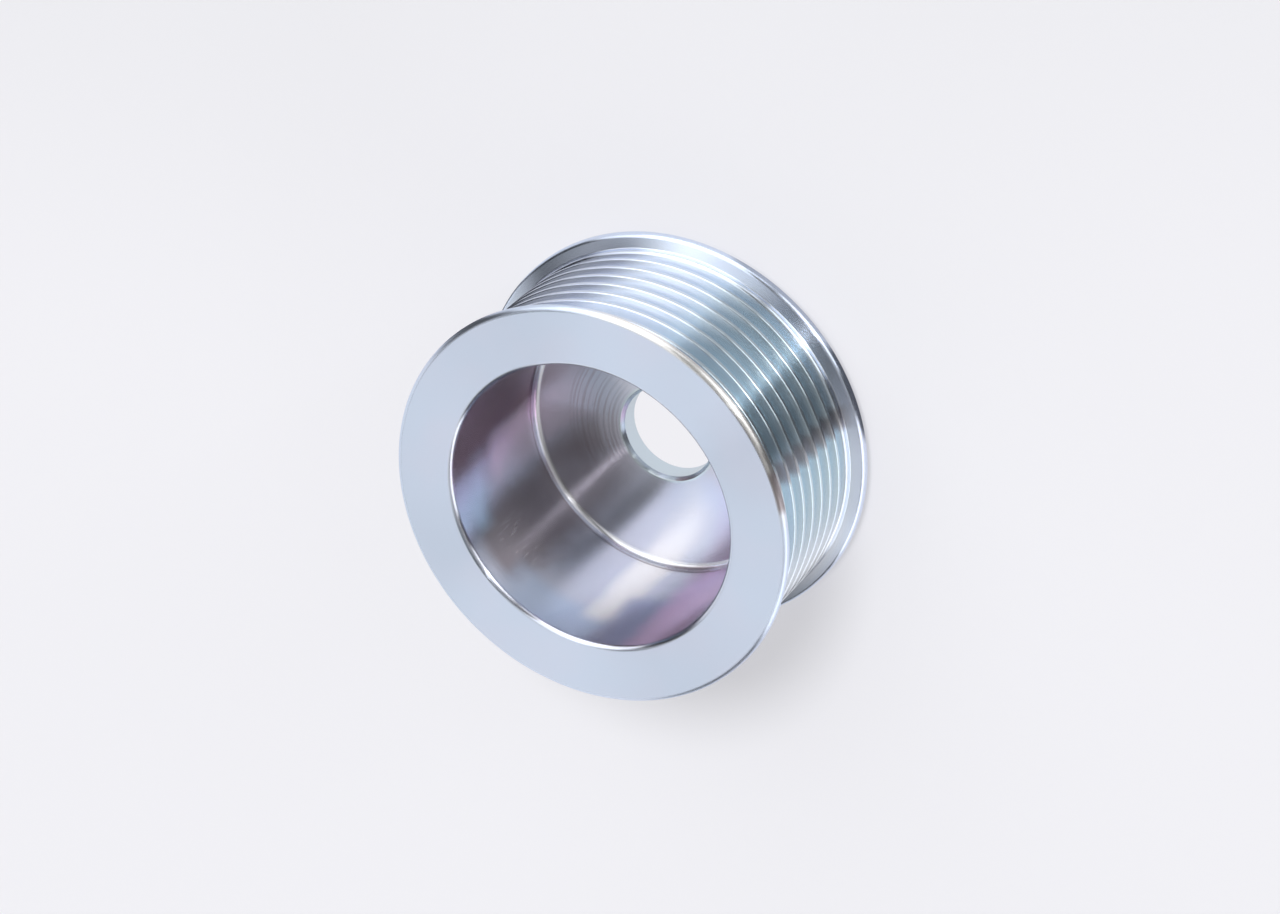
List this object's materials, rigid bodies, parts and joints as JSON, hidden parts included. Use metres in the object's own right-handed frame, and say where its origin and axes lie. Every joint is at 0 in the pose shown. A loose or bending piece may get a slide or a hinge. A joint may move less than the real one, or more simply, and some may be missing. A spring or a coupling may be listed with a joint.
{
  "type": "alternator pulley",
  "caption": "Flanged multi-rib belt pulley for an alternator, turned from steel: V grooves between two rims, a deep open cup in front, and a thin web with the shaft bore on its rear hub seat.",
  "frame": {"origin": "centre of the bore in the rear hub face, the face that bears on the alternator's bearing", "axes": "+Z along the bore axis from the rear hub face towards the open mouth of the cup; X and Y are any two directions across it, as the form is the same all round"},
  "size_m": [0.0732, 0.0732, 0.0348],
  "materials": {
    "zinc_plated_steel": "turned steel with bright zinc plating and a thin clear-blue passivation, lavender and straw tints in places"
  },
  "bodies": {
    "root": {"pulley": "zinc_plated_steel"}
  },
  "joints": []
}
